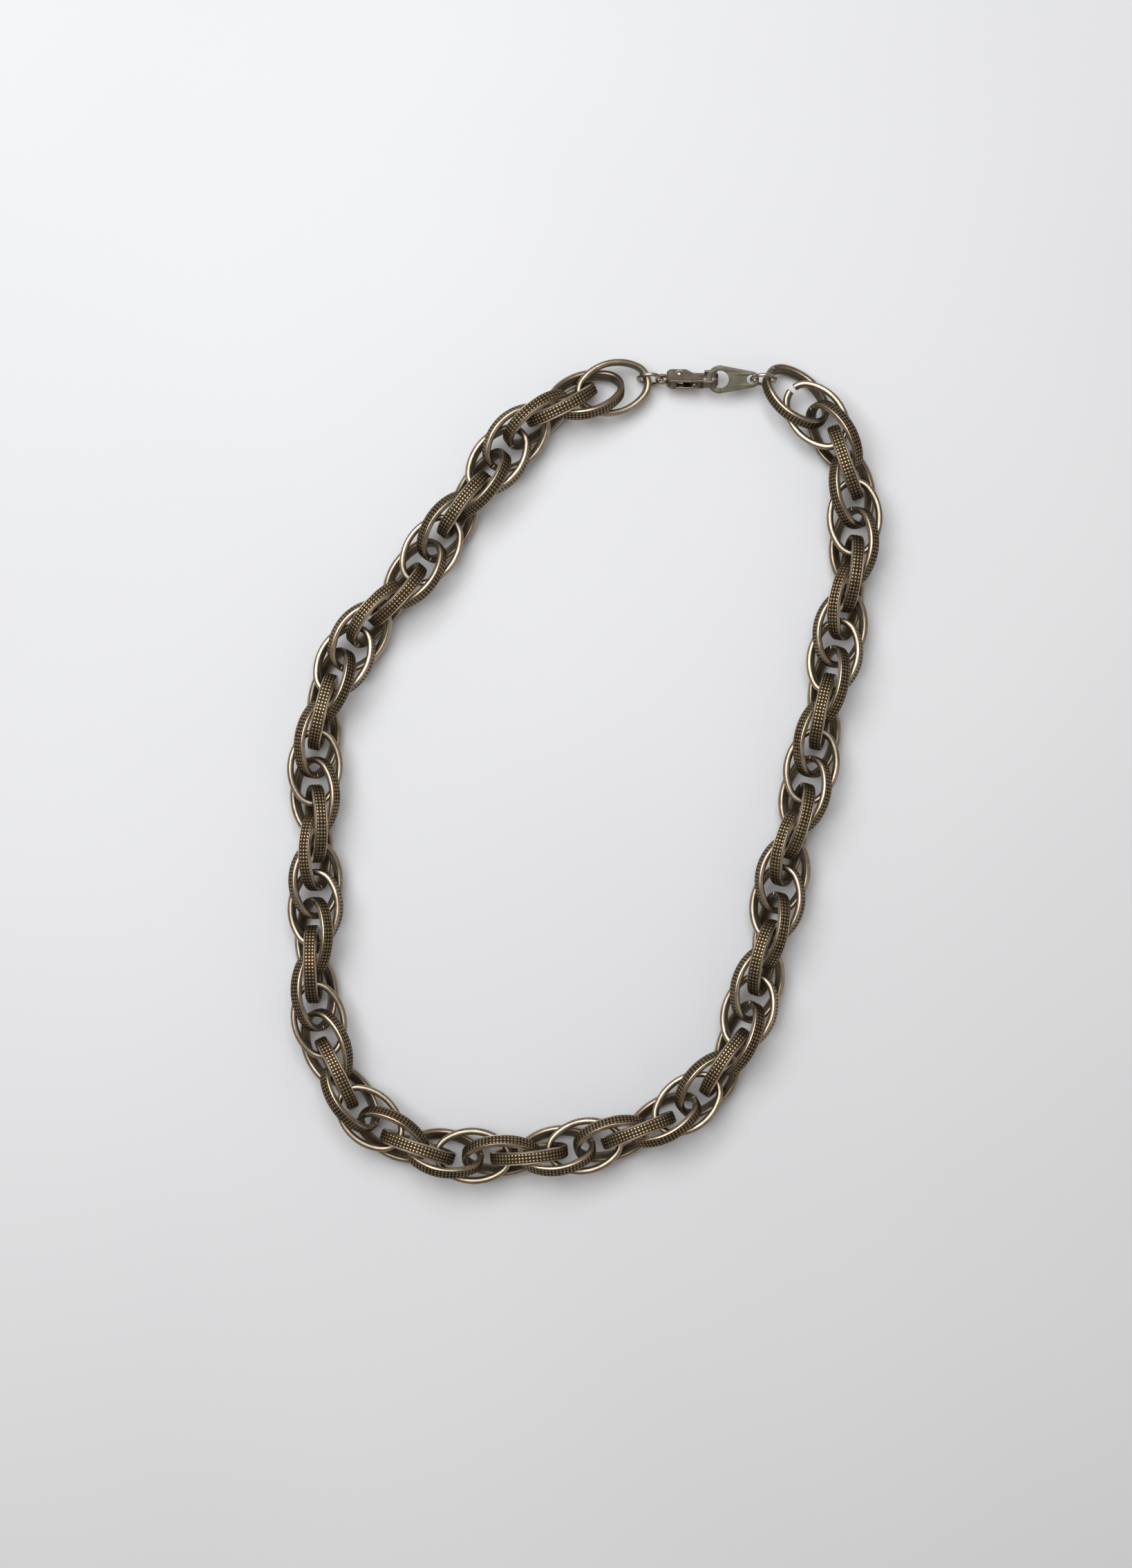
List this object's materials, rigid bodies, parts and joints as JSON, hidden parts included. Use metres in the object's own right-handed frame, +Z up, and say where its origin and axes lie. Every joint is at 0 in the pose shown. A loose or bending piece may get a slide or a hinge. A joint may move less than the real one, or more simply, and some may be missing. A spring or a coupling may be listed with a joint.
{
  "type": "chain necklace",
  "caption": "Rope-style necklace of interlocking oval strip links, closed by a sprung folded-sheet clasp that hooks into a flat end tag.",
  "frame": {"origin": "middle of the laid-out necklace, on the surface it lies on", "axes": "+Z up from the surface, +Y from the front link towards the clasp, +X from the clasp towards the end tag"},
  "size_m": [0.1262, 0.175, 0.0119],
  "materials": {
    "link_metal": "knurled, antiqued nickel-bronze plating with bright worn rims",
    "hardware_metal": "smooth, satin, aged plating",
    "spring_steel": "satin"
  },
  "bodies": {
    "clasp": {"clasp_body": "hardware_metal", "clasp_rivet": "hardware_metal", "clasp_spring": "spring_steel"},
    "lever": {"clasp_lever": "hardware_metal"},
    "end_tag": {"end_tag": "hardware_metal"},
    "rings": {"clasp_ring": "hardware_metal", "tag_ring": "hardware_metal"},
    "row_01": {"left_link_01": "link_metal", "right_link_01": "link_metal"},
    "row_02": {"left_link_02": "link_metal", "right_link_02": "link_metal"},
    "row_03": {"left_link_03": "link_metal", "right_link_03": "link_metal"},
    "row_04": {"left_link_04": "link_metal", "right_link_04": "link_metal"},
    "row_05": {"left_link_05": "link_metal", "right_link_05": "link_metal"},
    "row_06": {"left_link_06": "link_metal", "right_link_06": "link_metal"},
    "row_07": {"left_link_07": "link_metal", "right_link_07": "link_metal"},
    "row_08": {"left_link_08": "link_metal", "right_link_08": "link_metal"},
    "row_09": {"left_link_09": "link_metal", "right_link_09": "link_metal"},
    "row_10": {"left_link_10": "link_metal", "right_link_10": "link_metal"},
    "row_11": {"left_link_11": "link_metal", "right_link_11": "link_metal"},
    "row_12": {"left_link_12": "link_metal", "right_link_12": "link_metal"},
    "row_13": {"left_link_13": "link_metal", "right_link_13": "link_metal"},
    "row_14": {"left_link_14": "link_metal", "right_link_14": "link_metal"},
    "row_15": {"left_link_15": "link_metal", "right_link_15": "link_metal"},
    "row_16": {"left_link_16": "link_metal", "right_link_16": "link_metal"},
    "row_17": {"left_link_17": "link_metal", "right_link_17": "link_metal"},
    "row_18": {"link_pair_18": "link_metal"},
    "row_19": {"link_pair_19": "link_metal"},
    "row_20": {"link_pair_20": "link_metal"},
    "row_21": {"link_pair_21": "link_metal"},
    "row_22": {"link_pair_22": "link_metal"},
    "row_23": {"link_pair_23": "link_metal"},
    "row_24": {"link_pair_24": "link_metal"},
    "row_25": {"link_pair_25": "link_metal"},
    "row_26": {"link_pair_26": "link_metal"},
    "row_27": {"link_pair_27": "link_metal"},
    "row_28": {"link_pair_28": "link_metal"},
    "row_29": {"link_pair_29": "link_metal"},
    "row_30": {"link_pair_30": "link_metal"},
    "row_31": {"link_pair_31": "link_metal"},
    "row_32": {"link_pair_32": "link_metal"},
    "row_33": {"link_pair_33": "link_metal"},
    "row_34": {"link_pair_34": "link_metal"},
    "row_35": {"link_pair_35": "link_metal"},
    "front": {"front_link": "link_metal"}
  },
  "joints": [
    {"name": "lever_hinge", "type": "hinge", "parent": "clasp", "child": "lever", "pos_m": [0.02038, 0.08417, 0.00294], "axis": [-0.0463, 0.6702, 0.7408], "range_deg": [-20, 0], "stiffness_Nm_per_rad": 0.0005, "springref_deg": 8.59, "deforming": ["clasp_spring"]},
    {"name": "end_tag_swing", "type": "hinge", "parent": "clasp", "child": "end_tag", "pos_m": [0.02901, 0.08326, 0.0043], "axis": [0.9966, -0.0195, 0.0799], "range_deg": [-1, 10]},
    {"name": "rings_swing", "type": "hinge", "parent": "clasp", "child": "rings", "pos_m": [0.01673, 0.0835, 0.00331], "axis": [0.9966, -0.0195, 0.0799], "range_deg": [-4, 4]},
    {"name": "row_01_swing", "type": "hinge", "parent": "rings", "child": "row_01", "pos_m": [0.01348, 0.08356, 0.00305], "axis": [0.9966, -0.0195, 0.0799], "range_deg": [-3, 3]},
    {"name": "row_02_swing", "type": "hinge", "parent": "row_01", "child": "row_02", "pos_m": [0.02531, 0.07909, 0.00491], "axis": [0.9973, -0.0726, 0.0086], "range_deg": [-5, 5]},
    {"name": "row_03_swing", "type": "hinge", "parent": "row_02", "child": "row_03", "pos_m": [0.02449, 0.07594, 0.00561], "axis": [0.9943, -0.1061, 0.0027], "range_deg": [-5, 5]},
    {"name": "row_04_swing", "type": "hinge", "parent": "row_03", "child": "row_04", "pos_m": [0.02341, 0.07204, 0.00596], "axis": [0.9917, -0.1286, -0.0005], "range_deg": [-5, 5]},
    {"name": "row_05_swing", "type": "hinge", "parent": "row_04", "child": "row_05", "pos_m": [0.02203, 0.06743, 0.00601], "axis": [0.9895, -0.1444, -0.0014], "range_deg": [-5, 5]},
    {"name": "row_06_swing", "type": "hinge", "parent": "row_05", "child": "row_06", "pos_m": [0.02043, 0.06239, 0.00599], "axis": [0.9878, -0.1557, -0.001], "range_deg": [-5, 5]},
    {"name": "row_07_swing", "type": "hinge", "parent": "row_06", "child": "row_07", "pos_m": [0.01865, 0.05709, 0.00596], "axis": [0.9864, -0.1642, -0.0003], "range_deg": [-5, 5]},
    {"name": "row_08_swing", "type": "hinge", "parent": "row_07", "child": "row_08", "pos_m": [0.01664, 0.05176, 0.00595], "axis": [0.9851, -0.172, 0.0001], "range_deg": [-5, 5]},
    {"name": "row_09_swing", "type": "hinge", "parent": "row_08", "child": "row_09", "pos_m": [0.01445, 0.04643, 0.00595], "axis": [0.9838, -0.1795, 0], "range_deg": [-5, 5]},
    {"name": "row_10_swing", "type": "hinge", "parent": "row_09", "child": "row_10", "pos_m": [0.01216, 0.0411, 0.00595], "axis": [0.9825, -0.186, 0], "range_deg": [-5, 5]},
    {"name": "row_11_swing", "type": "hinge", "parent": "row_10", "child": "row_11", "pos_m": [0.00982, 0.03577, 0.00595], "axis": [0.9814, -0.1921, 0], "range_deg": [-5, 5]},
    {"name": "row_12_swing", "type": "hinge", "parent": "row_11", "child": "row_12", "pos_m": [0.00736, 0.03053, 0.00595], "axis": [0.98, -0.1992, 0], "range_deg": [-5, 5]},
    {"name": "row_13_swing", "type": "hinge", "parent": "row_12", "child": "row_13", "pos_m": [0.00474, 0.02542, 0.00595], "axis": [0.9782, -0.2078, 0], "range_deg": [-5, 5]},
    {"name": "row_14_swing", "type": "hinge", "parent": "row_13", "child": "row_14", "pos_m": [0.00218, 0.02026, 0.00595], "axis": [0.9766, -0.2153, 0], "range_deg": [-5, 5]},
    {"name": "row_15_swing", "type": "hinge", "parent": "row_14", "child": "row_15", "pos_m": [-0.00017, 0.01494, 0.00595], "axis": [0.9755, -0.2201, 0], "range_deg": [-5, 5]},
    {"name": "row_16_swing", "type": "hinge", "parent": "row_15", "child": "row_16", "pos_m": [-0.00232, 0.00948, 0.00595], "axis": [0.9748, -0.2229, 0], "range_deg": [-5, 5]},
    {"name": "row_17_swing", "type": "hinge", "parent": "row_16", "child": "row_17", "pos_m": [-0.00422, 0.00387, 0.00595], "axis": [0.9746, -0.2239, 0], "range_deg": [-5, 5]},
    {"name": "row_18_swing", "type": "hinge", "parent": "row_17", "child": "row_18", "pos_m": [-0.00576, -0.00187, 0.00595], "axis": [0.9746, -0.2239, 0], "range_deg": [-5, 5]},
    {"name": "row_19_swing", "type": "hinge", "parent": "row_18", "child": "row_19", "pos_m": [-0.00693, -0.00769, 0.00595], "axis": [0.9746, -0.2241, 0], "range_deg": [-5, 5]},
    {"name": "row_20_swing", "type": "hinge", "parent": "row_19", "child": "row_20", "pos_m": [-0.00772, -0.01356, 0.00595], "axis": [0.9743, -0.2251, 0], "range_deg": [-5, 5]},
    {"name": "row_21_swing", "type": "hinge", "parent": "row_20", "child": "row_21", "pos_m": [-0.0083, -0.01945, 0.00595], "axis": [0.974, -0.2267, 0], "range_deg": [-5, 5]},
    {"name": "row_22_swing", "type": "hinge", "parent": "row_21", "child": "row_22", "pos_m": [-0.00891, -0.02532, 0.00595], "axis": [0.9736, -0.2284, 0], "range_deg": [-5, 5]},
    {"name": "row_23_swing", "type": "hinge", "parent": "row_22", "child": "row_23", "pos_m": [-0.00962, -0.03118, 0.00595], "axis": [0.9732, -0.23, 0], "range_deg": [-5, 5]},
    {"name": "row_24_swing", "type": "hinge", "parent": "row_23", "child": "row_24", "pos_m": [-0.01049, -0.03701, 0.00595], "axis": [0.9729, -0.2314, 0], "range_deg": [-5, 5]},
    {"name": "row_25_swing", "type": "hinge", "parent": "row_24", "child": "row_25", "pos_m": [-0.01157, -0.04279, 0.00595], "axis": [0.9727, -0.2323, 0], "range_deg": [-5, 5]},
    {"name": "row_26_swing", "type": "hinge", "parent": "row_25", "child": "row_26", "pos_m": [-0.01294, -0.04845, 0.00595], "axis": [0.9727, -0.232, 0], "range_deg": [-5, 5]},
    {"name": "row_27_swing", "type": "hinge", "parent": "row_26", "child": "row_27", "pos_m": [-0.01452, -0.05388, 0.00595], "axis": [0.9732, -0.2298, 0], "range_deg": [-5, 5]},
    {"name": "row_28_swing", "type": "hinge", "parent": "row_27", "child": "row_28", "pos_m": [-0.01622, -0.05902, 0.00595], "axis": [0.9744, -0.2246, 0], "range_deg": [-5, 5]},
    {"name": "row_29_swing", "type": "hinge", "parent": "row_28", "child": "row_29", "pos_m": [-0.01793, -0.06376, 0.00595], "axis": [0.9767, -0.2148, 0], "range_deg": [-5, 5]},
    {"name": "row_30_swing", "type": "hinge", "parent": "row_29", "child": "row_30", "pos_m": [-0.0196, -0.06798, 0.00595], "axis": [0.9803, -0.1973, 0], "range_deg": [-5, 5]},
    {"name": "row_31_swing", "type": "hinge", "parent": "row_30", "child": "row_31", "pos_m": [-0.02107, -0.07171, 0.00595], "axis": [0.985, -0.1728, 0], "range_deg": [-5, 5]},
    {"name": "row_32_swing", "type": "hinge", "parent": "row_31", "child": "row_32", "pos_m": [-0.02215, -0.07491, 0.00595], "axis": [0.9894, -0.145, 0], "range_deg": [-5, 5]},
    {"name": "row_33_swing", "type": "hinge", "parent": "row_32", "child": "row_33", "pos_m": [-0.02287, -0.07749, 0.00595], "axis": [0.9935, -0.1141, 0], "range_deg": [-5, 5]},
    {"name": "row_34_swing", "type": "hinge", "parent": "row_33", "child": "row_34", "pos_m": [-0.02329, -0.07943, 0.00595], "axis": [0.9967, -0.0816, 0], "range_deg": [-5, 5]},
    {"name": "row_35_swing", "type": "hinge", "parent": "row_34", "child": "row_35", "pos_m": [-0.02346, -0.08069, 0.00595], "axis": [0.9983, -0.0576, 0], "range_deg": [-5, 5]},
    {"name": "front_swing", "type": "hinge", "parent": "row_35", "child": "front", "pos_m": [-0.0235, -0.08128, 0.00595], "axis": [0.9988, -0.0483, 0], "range_deg": [-5, 5]}
  ]
}
